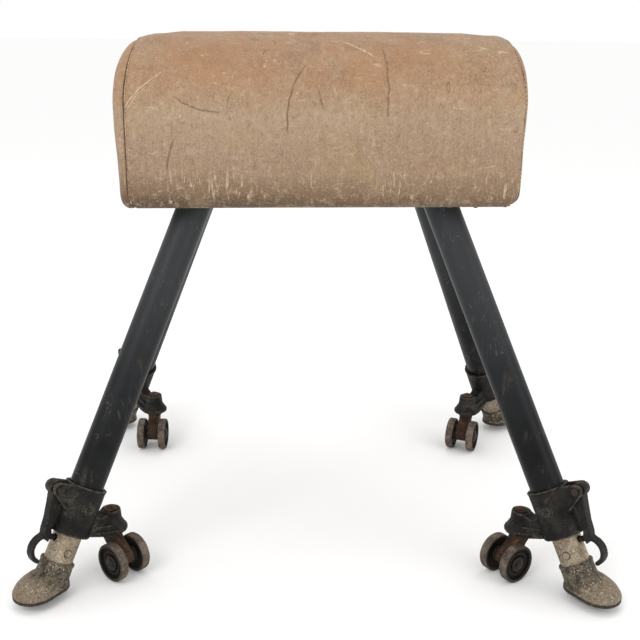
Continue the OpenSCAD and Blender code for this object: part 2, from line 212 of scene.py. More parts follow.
def cast_copy(node, voxel, rounds, pits=0.00012):
    """A CAD casting with its sharp edges rounded over and its skin left slightly rough."""
    obj = bpy.data.objects.new(node + "_cast", NODES[node].data.copy())
    bpy.context.scene.collection.objects.link(obj)
    bm = bmesh.new()
    bm.from_mesh(obj.data)
    bmesh.ops.remove_doubles(bm, verts=bm.verts, dist=1e-5)
    bm.to_mesh(obj.data)
    bm.free()
    remesh = obj.modifiers.new("remesh", "REMESH")
    remesh.mode = "VOXEL"
    remesh.voxel_size = voxel
    apply_modifiers(obj)
    relax(obj, rounds)
    smooth(obj.data)
    obj.data.update()
    pit(obj, pits, 0.004, seed=sum(map(ord, node)) % 97)
    return obj


def keep_clear(obj, origin, axis, radius, reach, low, high):
    """Moves a casting's bore wall out to radius, so that it doesn't touch the tube inside it."""
    points = get_points(obj)
    rel = points - np.array(origin)
    along = rel @ np.array(axis)
    radial = rel - along[:, None] * np.array(axis)
    size = np.linalg.norm(radial, axis=1)
    inside = (size < radius) & (size > radius - reach) & (along > low) & (along < high)
    points[inside] += radial[inside] * ((radius - size[inside]) / size[inside])[:, None]
    set_points(obj, points)


# ---------------------------------------------------------------- materials

def colour(red, green, blue):
    """The linear colour that reads as these display values, 0 to 255, in the studio's light."""
    def linear(value):
        value /= 255
        return (value / 12.92 if value <= 0.04045 else ((value + 0.055) / 1.055) ** 2.4) / STUDIO_LIGHT
    return (linear(red), linear(green), linear(blue), 1.0)


STUDIO_LIGHT = 1.2                  # what an upright white surface would read in the studio


class Shader:
    """A material under construction, with one short method for each kind of node it needs."""

    def __init__(self, name):
        self.material = bpy.data.materials.new(name)
        self.material.use_nodes = True
        self.tree = self.material.node_tree
        self.bsdf = self.tree.nodes["Principled BSDF"]
        self.place = self.node("ShaderNodeTexCoord").outputs["Object"]

    def node(self, kind, inputs=None, **settings):
        made = self.tree.nodes.new(kind)
        for key, value in settings.items():
            setattr(made, key, value)
        for key, value in (inputs or {}).items():
            self.feed(made.inputs[key], value)
        return made

    def feed(self, socket, value):
        if isinstance(value, bpy.types.NodeSocket):
            self.tree.links.new(value, socket)
        elif value is not None:
            socket.default_value = value

    def mapped(self, scale, turn=(0, 0, 0)):
        inputs = {"Vector": self.place, "Scale": scale, "Rotation": [math.radians(t) for t in turn]}
        return self.node("ShaderNodeMapping", inputs).outputs["Vector"]

    def noise(self, scale, detail=4.0, rough=0.55, vector=None, distort=0.0):
        inputs = {"Vector": vector or self.place, "Scale": scale, "Detail": detail,
                  "Roughness": rough, "Distortion": distort}
        return self.node("ShaderNodeTexNoise", inputs).outputs["Fac"]

    def cells(self, scale, vector=None, feature="F1"):
        inputs = {"Vector": vector or self.place, "Scale": scale}
        return self.node("ShaderNodeTexVoronoi", inputs, feature=feature).outputs["Distance"]

    def ramp(self, value, low, high, top=1.0, bottom=0.0):
        """value between low and high, smoothly brought to between bottom and top."""
        inputs = {"Value": value, "From Min": low, "From Max": high, "To Min": bottom, "To Max": top}
        return self.node("ShaderNodeMapRange", inputs, interpolation_type="SMOOTHSTEP").outputs["Result"]

    def tint(self, value, *stops):
        """value looked up in a row of (place, colour) stops."""
        made = self.node("ShaderNodeValToRGB", {"Fac": value})
        row = made.color_ramp.elements
        while len(row) < len(stops):
            row.new(0.5)
        for element, (place, shade) in zip(row, stops):
            element.position = place
            element.color = shade
        return made.outputs["Color"]

    def blend(self, amount, first, second):
        return self.node("ShaderNodeMix", {0: amount, 6: first, 7: second}, data_type="RGBA").outputs[2]

    def lay(self, base, value, low, high, share, *shade):
        """Lays a colour over base, as value goes from low to high, up to a share of it."""
        return self.blend(self.ramp(value, low, high, share), base, colour(*shade))

    def math(self, what, first, second=None):
        return self.node("ShaderNodeMath", {0: first, 1: second}, operation=what).outputs[0]

    def times(self, first, second):
        return self.math("MULTIPLY", first, second)

    def plus(self, first, second):
        return self.math("ADD", first, second)

    def minus(self, first, second):
        return self.math("SUBTRACT", first, second)

    def most(self, *values):
        top = values[0]
        for value in values[1:]:
            top = self.math("MAXIMUM", top, value)
        return top

    def axis(self, index):
        return self.node("ShaderNodeSeparateXYZ", {0: self.place}).outputs[index]

    def along(self, direction):
        """How far a point lies in a direction."""
        made = self.node("ShaderNodeVectorMath", {0: self.place, 1: direction}, operation="DOT_PRODUCT")
        return made.outputs["Value"]

    def distance(self, point, flatten):
        """How far a point lies from another, with the axes that flatten sets to 0 left out."""
        flat = self.node("ShaderNodeVectorMath", {0: self.place, 1: flatten}, operation="MULTIPLY")
        inputs = {0: flat.outputs["Vector"], 1: [p * f for p, f in zip(point, flatten)]}
        return self.node("ShaderNodeVectorMath", inputs, operation="DISTANCE").outputs["Value"]

    def edges(self):
        """Bright where the surface is a convex edge."""
        return self.node("ShaderNodeNewGeometry").outputs["Pointiness"]

    def line(self, value, width):
        """1 where a noise value is within width of its middle: a thin wandering line."""
        return self.ramp(self.math("ABSOLUTE", self.minus(value, 0.5)), 0, width, 0.0, 1.0)

    def bump(self, height, distance, strength=1.0, below=None):
        inputs = {"Distance": distance, "Strength": strength, "Height": height, "Normal": below}
        return self.node("ShaderNodeBump", inputs).outputs["Normal"]

    def finish(self, base, rough, normal=None, metal=0.0, specular=None, sheen=None):
        sockets = {"Base Color": base, "Roughness": rough, "Normal": normal, "Metallic": metal,
                   "Specular IOR Level": specular, "Sheen Weight": sheen}
        for key, value in sockets.items():
            self.feed(self.bsdf.inputs[key], value)
        return self.material


def dress(obj, material):
    obj.data.materials.clear()
    obj.data.materials.append(material)


def place(obj, material, body, slot, stands_for=None):
    """Gives a piece its material and the body it moves with, and hides the CAD node it stands for; slot is not
    used.
    """
    dress(obj, material)
    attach(obj, body)
    if stands_for:
        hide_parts(stands_for)


# ---- leather

# Single marks on the front, as arcs: middle and radius, then the span in x and z, all from the
# middle of the body's lower edge, the half width, and 1 for a pale scrape or 0 for a dark crease
MARKS = (
    ((-0.165, 0.075), 0.1240, (-0.285, -0.205), (0.095, 0.192), 0.0008, 1),
    ((-0.165, 0.075), 0.1205, (-0.285, -0.225), (0.095, 0.172), 0.0006, 1),
    ((-0.146, 0.220), 0.0850, (-0.215, -0.135), (0.120, 0.160), 0.0011, 0),
    ((0.075, 0.123), 0.1220, (-0.060, -0.018), (0.100, 0.212), 0.0013, 0),
    ((-0.020, 0.025), 0.1980, (-0.230, -0.198), (0.050, 0.105), 0.0016, 0),
    ((-0.210, 0.155), 0.3035, (0.080, 0.110), (0.125, 0.228), 0.0012, 0),
    ((-0.120, 0.115), 0.1256, (-0.012, 0.010), (0.135, 0.178), 0.0013, 0),
    ((-0.060, -0.005), 0.2520, (0.030, 0.078), (0.180, 0.240), 0.0009, 1),
)


def arc_mark(s, wobble, middle, radius, span_x, span_z, half_width):
    """1 on one mark of the front and 0 elsewhere, its ends fading out."""
    away = s.distance((BODY_MID.x + middle[0], 0, BODY_LOW.z + middle[1]), (1, 0, 1))
    off = s.math("ABSOLUTE", s.minus(s.plus(away, wobble), radius))
    ring = s.ramp(off, half_width * 0.4, half_width * 1.3, 0.0, 1.0)
    for index, (low, high), origin in ((0, span_x, BODY_MID.x), (2, span_z, BODY_LOW.z)):
        at = s.axis(index)
        ring = s.times(ring, s.ramp(at, origin + low, origin + low + 0.010))
        ring = s.times(ring, s.ramp(at, origin + high, origin + high - 0.010))
    return s.times(ring, s.math("LESS_THAN", s.axis(1), 0.0))


def leather_material(name, front=True):
    """Old cowhide: grey-tan below, red-brown and crazed above, scuffed along its lower edge, with painted shade
    darkening its lowest edge where it turns under.
    """
    s = Shader(name)

    def between(index, low, high, soft):
        at = s.axis(index)
        return s.times(s.ramp(at, low, low + soft), s.ramp(at, high, high - soft))

    height = s.ramp(s.axis(2), BODY_LOW.z, BODY_HIGH.z)
    cloud = s.noise(8, 5, 0.6)
    blotch = s.noise(27, 5, 0.65, distort=0.6)
    mottle = s.noise(105, 4, 0.7)
    thread = s.noise(1.0, 3, 0.6, s.mapped((310, 310, 24)))
    grain = s.cells(950, feature="DISTANCE_TO_EDGE")
    pores = s.noise(620, 3, 0.65)
    # Colour by height; the dark stops at the very bottom are painted shade where the leather turns under the body.
    base = s.tint(height, (0.0, colour(82, 64, 48)), (0.022, colour(128, 104, 81)),
                  (0.12, colour(164, 136, 111)), (0.33, colour(173, 146, 121)),
                  (0.56, colour(184, 158, 131)), (0.74, colour(182, 149, 118)),
                  (0.88, colour(178, 140, 108)), (1.0, colour(174, 142, 112)))
    base = s.lay(base, cloud, 0.36, 0.68, 0.34, 158, 128, 98)
    base = s.lay(base, s.noise(15, 4, 0.6), 0.52, 0.72, 0.35, 182, 166, 144)
    base = s.lay(base, s.noise(11, 4, 0.6, distort=0.5), 0.54, 0.68, 0.35, 176, 150, 108)
    base = s.lay(base, blotch, 0.54, 0.78, 0.30, 196, 166, 132)
    base = s.lay(base, blotch, 0.46, 0.26, 0.30, 146, 116, 90)
    base = s.lay(base, mottle, 0.52, 0.70, 0.50, 206, 180, 150)
    base = s.lay(base, mottle, 0.47, 0.30, 0.50, 134, 104, 80)
    base = s.lay(base, thread, 0.54, 0.72, 0.24, 204, 182, 156)
    base = s.lay(base, thread, 0.46, 0.30, 0.24, 136, 110, 88)
    fine = s.noise(1.0, 4, 0.8, s.mapped((390, 390, 300)))
    base = s.lay(base, fine, 0.52, 0.68, 0.46, 212, 188, 158)
    base = s.lay(base, fine, 0.48, 0.33, 0.50, 118, 90, 68)

    # Hands and feet have worn the upper part red-brown and crazed it
    upper = s.ramp(s.plus(s.axis(2), s.times(cloud, 0.10)), BODY_HIGH.z - 0.045, BODY_HIGH.z + 0.018)
    red = s.times(upper, s.ramp(s.noise(11, 4, 0.6), 0.34, 0.60))
    if front:
        red = s.times(red, between(0, BODY_MID.x - 0.30, BODY_MID.x + 0.22, 0.10))
    base = s.blend(s.times(red, 0.56), base, colour(178, 129, 90))
    net = s.cells(105, s.mapped((1.0, 1.0, 0.55), (0, 12, 0)), "DISTANCE_TO_EDGE")
    tangle = s.line(s.noise(62, 4, 0.7, distort=1.2), 0.016)
    crazed = s.times(s.most(s.ramp(net, 0.0, 0.07, 0.0, 0.5), s.times(tangle, 0.7)),
                     s.times(s.ramp(s.axis(2), BODY_HIGH.z - 0.115, BODY_HIGH.z - 0.06),
                             s.ramp(s.noise(19, 3), 0.47, 0.60)))

    # Dark creases that run down, and short dark cuts
    worn = s.ramp(s.noise(210, 3, 0.7), 0.36, 0.56, 0.75, 0.25)
    run = s.times(s.line(s.noise(1.5, 3, 0.6, s.mapped((9, 9, 2.0), (0, 7, 0)), 0.1), 0.006),
                  s.ramp(s.noise(12, 2), 0.53, 0.62))
    short = s.times(s.line(s.noise(1.0, 3, 0.6, s.mapped((46, 46, 9), (0, 12, 0)), 0.1), 0.010),
                    s.ramp(s.noise(29, 2), 0.58, 0.66))
    pin = s.ramp(s.cells(13), 0.018, 0.010)
    high = s.ramp(s.axis(2), BODY_LOW.z + 0.07, BODY_LOW.z + 0.15, 1.0, 0.25)
    dark = s.times(s.most(s.times(crazed, 0.75), run, s.times(short, 0.7), pin), high)

    # Pale upright scuffs along the lower edge, and pale nicks in patches
    streak = s.ramp(s.noise(1.0, 4, 0.66, s.mapped((235, 235, 30))), 0.555, 0.63)
    band = between(2, BODY_LOW.z + 0.004, BODY_LOW.z + 0.062, 0.018)
    patch = s.ramp(s.noise(1.0, 3, 0.6, s.mapped((10, 10, 5))), 0.42, 0.56)
    scuff = s.times(s.times(streak, band), patch)
    crumb = s.times(s.ramp(s.noise(170, 3, 0.65, s.mapped((1, 1, 0.5), (0, 25, 0))), 0.60, 0.67),
                    s.ramp(s.noise(14, 3, 0.6), 0.55, 0.66))
    scratch = s.most(*[s.times(s.line(s.noise(1.0, 2, 0.5, s.mapped(scale, (0, turn, 0)), 0.1), 0.012),
                             s.ramp(s.noise(seed, 2), 0.60, 0.66))
                     for scale, turn, seed in (((9, 9, 75), 52, 23), ((8, 8, 60), -58, 27))])
    pale = s.most(scuff, s.times(crumb, 0.85), s.times(scratch, 0.8))
    if front:
        wobble = s.times(s.minus(s.noise(34, 4, 0.65), 0.5), 0.010)
        for middle, radius, span_x, span_z, half_width, is_pale in MARKS:
            mark = arc_mark(s, wobble, middle, radius, span_x, span_z, half_width)
            if is_pale:
                pale = s.most(pale, mark)
            else:
                dark = s.most(dark, mark)
    dark, pale = s.times(dark, worn), s.times(pale, worn)
    base = s.blend(s.times(dark, 0.9), base, colour(98, 68, 50))
    base = s.blend(pale, base, colour(226, 204, 174))

    base = s.lay(base, pores, 0.60, 0.72, 0.35, 122, 96, 74)
    base = s.blend(s.ramp(grain, 0.0, 0.10, 0.0, 0.25), base, colour(126, 100, 78))
    skin = s.plus(s.times(s.ramp(grain, 0.0, 0.16), 0.5), s.times(pores, 0.5))
    relief = s.bump(skin, 0.00035, 0.7)
    relief = s.bump(s.minus(1.0, s.most(dark, s.times(pale, 0.35))), 0.0009, 0.8, relief)
    relief = s.bump(mottle, 0.0008, 0.5, relief)
    relief = s.bump(blotch, 0.0016, 0.3, relief)
    rough = s.plus(s.ramp(blotch, 0.3, 0.75, 0.16), s.plus(s.times(pale, 0.18), 0.52))
    return s.finish(base, rough, relief, specular=0.22, sheen=0.06)


def thread_material():
    s = Shader("waxed_thread")
    twist = s.noise(1.0, 2, 0.5, s.mapped((900, 900, 1800)))
    base = s.blend(s.ramp(s.noise(35, 3), 0.42, 0.62), colour(198, 168, 128), colour(120, 78, 48))
    base = s.lay(base, twist, 0.4, 0.6, 0.4, 230, 208, 172)
    return s.finish(base, 0.8, s.bump(twist, 0.0002))


# A dark tube laid along each seam: painted shade that stands for the shadow in the seam's groove.
def seam_shadow_material():
    s = Shader("seam_shadow")
    shade_mottle = s.noise(120, 4, 0.6)
    return s.finish(s.blend(s.ramp(shade_mottle, 0.4, 0.6), colour(46, 28, 20), colour(112, 76, 50)), 0.85,
                    s.bump(shade_mottle, 0.0004))


# ---- metals

def painted_tube_material():
    """Black stoving enamel on steel tube: a dull sheen and a painted sheen, lighter grey-blue towards the top,
    with brown rubbed streaks, chips and scratches.
    """
    s = Shader("black_enamel")
    cloud = s.noise(14, 5, 0.6)
    streak = s.noise(1.0, 4, 0.6, s.mapped((52, 52, 6)))
    # Painted sheen: the tube's colour turns lighter grey-blue towards the top.
    height = s.ramp(s.axis(2), 0.20, 0.50)
    base = s.blend(s.ramp(cloud, 0.35, 0.7), colour(10, 11, 12), colour(24, 25, 26))
    base = s.blend(s.times(height, 0.65), base, colour(66, 69, 72))
    base = s.lay(base, streak, 0.57, 0.74, 0.6, 70, 62, 53)
    chip = s.times(s.ramp(s.noise(190, 4, 0.7), 0.65, 0.69), s.ramp(s.noise(19, 3), 0.5, 0.62))
    base = s.blend(chip, base, colour(104, 88, 70))
    scratch = s.times(s.line(s.noise(1.0, 2, 0.5, s.mapped((90, 90, 16), (6, 9, 0)), 0.3), 0.012),
                      s.ramp(s.noise(28, 2), 0.55, 0.63))
    base = s.blend(s.times(scratch, 0.5), base, colour(112, 106, 98))
    relief = s.bump(s.noise(420, 2, 0.5), 0.00015, 0.5)
    relief = s.bump(s.minus(1.0, s.most(chip, scratch)), 0.0003, 0.7, relief)
    rough = s.plus(s.ramp(cloud, 0.3, 0.7, 0.12), s.plus(s.times(chip, 0.3), 0.34))
    return s.finish(base, rough, relief, specular=0.15)


def casting_material(name, dark, mid, worn, rust, wear=(0.52, 0.60), rust_at=(0.60, 0.72), dull=0.5):
    """Enamelled cast iron, worn on its edges to the metal under it, with rust in patches and painted shade
    darkening its hollows.
    """
    s = Shader(name)
    cloud = s.noise(34, 5, 0.62)
    sand = s.noise(330, 4, 0.7)
    lump = s.noise(140, 4, 0.6)
    base = s.blend(s.ramp(cloud, 0.35, 0.68), dark, mid)
    patch = s.times(s.ramp(s.noise(46, 5, 0.7, distort=0.8), *rust_at), s.ramp(lump, 0.38, 0.6))
    base = s.blend(s.times(patch, 0.8), base, rust)
    dusty = s.times(s.ramp(s.noise(21, 4, 0.7), 0.54, 0.70), s.ramp(sand, 0.40, 0.60))
    base = s.blend(s.times(dusty, 0.5), base, worn)
    rubbed = s.plus(s.edges(), s.times(s.minus(lump, 0.5), 0.10))
    edge = s.ramp(rubbed, *wear)
    base = s.blend(s.times(edge, 0.65), base, worn)
    # Painted shade: near black where the surface is concave.
    hollow_shade = s.ramp(s.edges(), 0.485, 0.43)
    base = s.blend(s.times(hollow_shade, 0.75), base, colour(9, 8, 7))
    base = s.blend(s.ramp(sand, 0.58, 0.72, 0.40), base, worn)
    relief = s.bump(sand, 0.0004, 0.6)
    relief = s.bump(lump, 0.0008, 0.4, relief)
    rough = s.minus(s.plus(s.ramp(cloud, 0.3, 0.7, 0.15), dull), s.times(edge, 0.12))
    return s.finish(base, rough, relief, metal=s.times(edge, 0.3), specular=0.14)


def bare_tube_material():
    """Unpainted steel tube, dull khaki and finely pitted."""
    s = Shader("bare_steel")
    pits = s.noise(330, 5, 0.7)
    deep = s.cells(240)
    cloud = s.noise(42, 5, 0.65)
    base = s.blend(s.ramp(cloud, 0.34, 0.68), colour(130, 116, 95), colour(184, 169, 144))
    base = s.lay(base, pits, 0.52, 0.62, 0.7, 84, 73, 58)
    base = s.lay(base, s.noise(50, 4), 0.52, 0.66, 0.6, 146, 108, 80)
    # Painted glints: bright specks standing for light caught by the pitted metal.
    glint = s.ramp(s.noise(360, 3, 0.7), 0.58, 0.66)
    base = s.blend(s.times(glint, 0.75), base, colour(226, 216, 198))
    relief = s.bump(s.plus(pits, s.times(s.ramp(deep, 0.0, 0.3), 0.4)), 0.0006, 0.8)
    rough = s.ramp(pits, 0.35, 0.65, 0.68, 0.40)
    return s.finish(base, rough, relief, metal=0.35, specular=0.5)


def foot_material(leg):
    """A cast shoe: dark paint round the neck, worn to rust on the toe, with painted glints as bright metallic
    specks.
    """
    s = Shader("foot_iron_" + leg.corner)
    outwards = s.minus(s.along(tuple(leg.out)), leg.foot.dot(leg.out))
    ragged = s.times(s.minus(s.noise(85, 5, 0.7), 0.5), 0.075)
    low = s.minus(0.052, s.axis(2))
    toe = s.ramp(s.plus(s.plus(outwards, s.times(low, 0.9)), ragged), 0.014, 0.040)
    grit = s.noise(300, 5, 0.7)
    lump = s.noise(130, 4, 0.6)
    paint = s.blend(s.ramp(lump, 0.35, 0.65), colour(48, 41, 33), colour(104, 93, 76))
    rust = s.blend(s.ramp(grit, 0.35, 0.65), colour(94, 82, 68), colour(152, 136, 114))
    rust = s.blend(s.ramp(s.noise(60, 4), 0.5, 0.66, 0.5), rust, colour(132, 104, 82))
    base = s.blend(toe, paint, rust)
    # Painted glints: bright metallic specks standing for light caught on the worn iron.
    glint = s.times(s.ramp(s.noise(400, 3, 0.7), 0.57, 0.64), s.ramp(s.noise(55, 3), 0.40, 0.56))
    base = s.blend(s.times(glint, 0.85), base, colour(212, 205, 190))
    base = s.lay(base, grit, 0.56, 0.68, 0.7, 44, 37, 30)
    relief = s.bump(grit, 0.0007, 0.8)
    relief = s.bump(lump, 0.0010, 0.4, relief)
    rough = s.ramp(grit, 0.3, 0.7, 0.75, 0.42)
    return s.finish(base, rough, relief, metal=s.times(glint, 0.6), specular=0.25)


def steel_material(name, light, dark, rust_amount=0.35, dull=0.42):
    s = Shader(name)
    cloud = s.noise(120, 4, 0.6)
    base = s.blend(s.ramp(cloud, 0.35, 0.65), dark, light)
    base = s.blend(s.ramp(s.noise(210, 5, 0.7), 0.52, 0.66, rust_amount), base, colour(112, 66, 42))
    return s.finish(base, s.ramp(cloud, 0.3, 0.7, dull + 0.25, dull), s.bump(s.noise(420, 3), 0.0003, 0.6),
                    metal=0.7)


def wheel_material():
    """The pressed rubber of a wheel's sides: nearly black, its rings rubbed a little."""
    s = Shader("hard_rubber")
    grit = s.noise(430, 5, 0.7)
    cloud = s.noise(60, 4, 0.6)
    base = s.blend(s.ramp(cloud, 0.35, 0.7), colour(13, 12, 11), colour(27, 24, 22))
    base = s.lay(base, s.edges(), 0.515, 0.56, 0.5, 84, 76, 68)
    base = s.lay(base, grit, 0.58, 0.72, 0.4, 70, 62, 54)
    return s.finish(base, 0.6, s.bump(grit, 0.0005, 0.7), specular=0.14)


def tread_material():
    """The wheels' running surface, ground down and dusty."""
    s = Shader("hard_rubber_tread")
    grit = s.noise(430, 5, 0.7)
    cloud = s.noise(60, 4, 0.6)
    base = s.blend(s.ramp(cloud, 0.35, 0.7), colour(78, 68, 60), colour(128, 114, 102))
    base = s.lay(base, grit, 0.50, 0.64, 0.7, 50, 42, 37)
    base = s.lay(base, s.noise(520, 3), 0.62, 0.70, 0.6, 172, 158, 142)
    return s.finish(base, 0.8, s.bump(grit, 0.0007, 0.8), specular=0.2)


def rubber_material():
    s = Shader("sole_rubber")
    grit = s.noise(300, 4, 0.65)
    return s.finish(s.blend(s.ramp(grit, 0.4, 0.65), colour(44, 40, 36), colour(84, 76, 66)), 0.85,
                    s.bump(grit, 0.0006, 0.7), specular=0.3)


def wood_material():
    s = Shader("pine")
    rings = s.noise(1.0, 4, 0.6, s.mapped((5, 70, 70)), 1.4)
    pore = s.noise(1.0, 3, 0.6, s.mapped((30, 600, 600)))
    base = s.tint(rings, (0.35, colour(120, 88, 58)), (0.5, colour(158, 122, 84)),
                  (0.65, colour(134, 100, 68)))
    base = s.lay(base, pore, 0.5, 0.7, 0.5, 88, 62, 42)
    base = s.lay(base, s.noise(9, 4), 0.4, 0.7, 0.4, 96, 76, 58)
    return s.finish(base, 0.75, s.bump(pore, 0.0004, 0.6))


def brass_material():
    s = Shader("dull_brass")
    cloud = s.noise(260, 4, 0.65)
    base = s.blend(s.ramp(cloud, 0.38, 0.62), colour(70, 54, 34), colour(150, 120, 70))
    return s.finish(base, s.ramp(cloud, 0.3, 0.7, 0.3, 0.62), s.bump(cloud, 0.0003, 0.6), metal=0.8)


def hair_material():
    s = Shader("horsehair_felt")
    hair = s.noise(1.0, 5, 0.7, s.mapped((300, 300, 90)))
    return s.finish(s.blend(s.ramp(hair, 0.4, 0.62), colour(120, 100, 76), colour(186, 170, 140)), 0.95,
                    s.bump(hair, 0.001))


# ---------------------------------------------------------------- the leather body

CELLS_LONG, CELLS_ACROSS, CELLS_UP = 94, 56, 34
CROWN, HEM = 0.095, 0.018           # corner radii of the cross-section, above and below
HEM_WIDTH = 0.038                   # how far the hem is turned in under the body
HEM_HANG = (0.0065, 0.0002)         # how far the lower edge hangs down at the left and right ends
# Radius of the rounding between the body and its left (-1) and right (1) end
EDGE_TOP = {-1: 0.053, 1: 0.043}
EDGE_SIDE = 0.018
EDGE_BOTTOM = {-1: 0.016, 1: 0.0165}
SEAM_STEP = {-1: 9, 1: 6}           # how many rings lie between the end's flat face and its seam
SEAM_AT = {-1: (0.027, 0.056, 0.036), 1: (0.009, 0.040, 0.022)}  # seam from the end: side, top, bottom
PAST_SEAM = 7                       # rings from the seam to the body's straight part
TAPER = {-1: 0.006, 1: 0.003}       # how much shorter the body is at its lower edge, each end
LOW_CORNER = {-1: 0.004, 1: 0.022}  # how far each end is rounded off at its lower corner
SKIN = 0.0035                       # the leather's thickness
SKIN_IN, STUFFING_IN = 0.0015, 0.0105  # how far the skin and the stuffing lie inside the CAD body
SWELL = 0.004                       # how far the skin may swell


def arc_points(centre, radius, start, end, count):
    angles = np.radians(np.linspace(start, end, count))
    return [(centre[0] + radius * math.cos(a), centre[1] + radius * math.sin(a)) for a in angles]


def evenly(points, count):
    """count points at even steps along a line, its end left out."""
    points = np.array(points)
    steps = np.linalg.norm(np.diff(points, axis=0), axis=1)
    place = np.concatenate([[0], np.cumsum(steps)])
    at = np.linspace(0, place[-1], count + 1)[:-1]
    return np.stack([np.interp(at, place, points[:, k]) for k in range(2)], axis=1)


def body_outline(inset):
    """The body's cross-section from below the front edge round the back and over the top, as (y, z)."""
    half = (BODY_HIGH.y - BODY_LOW.y) / 2 - inset
    low, high = BODY_LOW.z + inset, BODY_HIGH.z - inset
    hem, crown = HEM - inset, CROWN - inset

    def hem_arc(side, start, end):
        return arc_points((side * (half - hem), low + hem), hem, start, end, 8)

    def crown_arc(side, start, end):
        return arc_points((side * (half - crown), high - crown), crown, start, end, 20)

    below = hem_arc(-1, 225, 270) + hem_arc(1, 270, 315)
    back = hem_arc(1, 315, 360) + crown_arc(1, 0, 45)
    top = crown_arc(1, 45, 90) + crown_arc(-1, 90, 135)
    front = crown_arc(-1, 135, 180) + hem_arc(-1, 180, 225)
    return np.concatenate([evenly(below, CELLS_ACROSS), evenly(back, CELLS_UP),
                           evenly(top, CELLS_ACROSS), evenly(front, CELLS_UP)])


def outline_normals(outline):
    step = np.roll(outline, -1, axis=0) - np.roll(outline, 1, axis=0)
    normal = np.stack([step[:, 1], -step[:, 0]], axis=1)
    return normal / np.linalg.norm(normal, axis=1)[:, None]


def round_the_ring(normals, side, top, bottom):
    """A measure that changes round the outline, from its values at the sides, top and bottom."""
    up, down = np.maximum(normals[:, 1], 0) ** 1.5, np.maximum(-normals[:, 1], 0) ** 1.5
    return side + (top - side) * up + (bottom - side) * down


def body_rings(inset):
    """Rings of points from the left end's rim to the right end's rim."""
    outline = body_outline(inset)
    normals = outline_normals(outline)
    low_share = np.clip((BODY_MID.z + 0.03 - outline[:, 1]) / 0.15, 0, 1) ** 1.5
    ends = {}
    for side in (-1, 1):
        half = (BODY_HIGH.x - BODY_LOW.x) / 2 - inset - TAPER[side] * low_share
        radius = round_the_ring(normals, EDGE_SIDE, EDGE_TOP[side], EDGE_BOTTOM[side]) - inset
        seam = round_the_ring(normals, *SEAM_AT[side]) - TAPER[side] * low_share
        flat = np.maximum(radius * math.pi / 2, seam) + 0.008
        before = [seam * k / SEAM_STEP[side] for k in range(SEAM_STEP[side])]
        after = [seam + (flat - seam) * k / PAST_SEAM for k in range(PAST_SEAM + 1)]
        rings = []
        for travel in before + after:
            angle = np.minimum(travel / radius, math.pi / 2)
            past = np.maximum(travel - radius * math.pi / 2, 0)
            yz = outline - normals * (radius * (1 - np.sin(angle)))[:, None]
            short = 1 - np.clip((yz[:, 1] - BODY_LOW.z) / LOW_CORNER[side], 0, 1)
            drawn_in = LOW_CORNER[side] * (1 - np.sqrt(1 - short ** 2)) * np.clip(1 - travel / 0.05, 0, 1)
            x = side * (half - radius * (1 - np.cos(angle)) - past - drawn_in)
            rings.append(np.column_stack([x, yz]))
        ends[side] = rings
    middle = []
    for k in range(1, CELLS_LONG):
        t = k / CELLS_LONG
        middle.append(ends[-1][-1] * (1 - t) + ends[1][-1] * t)
    return ends[-1] + middle + ends[1][::-1]


def end_patch(rim):
    """A grid of points spanning one end's rim, its border included."""
    a, b = CELLS_ACROSS, CELLS_UP
    bottom, right = rim[:a + 1], rim[a:a + b + 1]
    top = rim[a + b:2 * a + b + 1][::-1]
    left = np.concatenate([rim[2 * a + b:], rim[:1]])[::-1]
    u = np.linspace(0, 1, a + 1)[None, :, None]
    v = np.linspace(0, 1, b + 1)[:, None, None]
    grid = (1 - v) * bottom[None] + v * top[None] + (1 - u) * left[:, None] + u * right[:, None]
    grid -= (1 - u) * (1 - v) * bottom[0] + u * (1 - v) * bottom[-1] + (1 - u) * v * top[0] + u * v * top[-1]
    return grid


def loft_body(name, inset):
    """The closed skin of the body. Returns the object, its rings' vertex numbers and each face's zone."""
    rings = body_rings(inset)
    size = len(rings[0])
    vertices = list(np.concatenate(rings))
    index = [np.arange(k * size, (k + 1) * size) for k in range(len(rings))]
    faces, zones = [], []
    first_seam, last_seam = SEAM_STEP[-1], len(rings) - 1 - SEAM_STEP[1]
    for k in range(len(rings) - 1):
        zone = 0 if k < first_seam else 2 if k >= last_seam else 1
        for i in range(size):
            j = (i + 1) % size
            faces.append((index[k][i], index[k][j], index[k + 1][j], index[k + 1][i]))
            zones.append(zone)
    for side, ring in ((0, 0), (2, len(rings) - 1)):
        grid = end_patch(rings[ring])
        rows, columns = grid.shape[:2]
        number = np.zeros((rows, columns), dtype=int)
        rim = list(index[ring])
        a, b = CELLS_ACROSS, CELLS_UP
        number[0, :], number[:, -1] = rim[:a + 1], rim[a:a + b + 1]
        number[-1, ::-1] = rim[a + b:2 * a + b + 1]
        number[::-1, 0] = rim[2 * a + b:] + rim[:1]
        for r in range(1, rows - 1):
            for c in range(1, columns - 1):
                number[r, c] = len(vertices)
                vertices.append(grid[r, c])
        for r in range(rows - 1):
            for c in range(columns - 1):
                faces.append((number[r, c], number[r, c + 1], number[r + 1, c + 1], number[r + 1, c]))
                zones.append(side)
    faces = [tuple(int(i) for i in f) for f in faces]
    obj = add_object(name, vertices, faces)
    return obj, index, zones, (first_seam, last_seam)


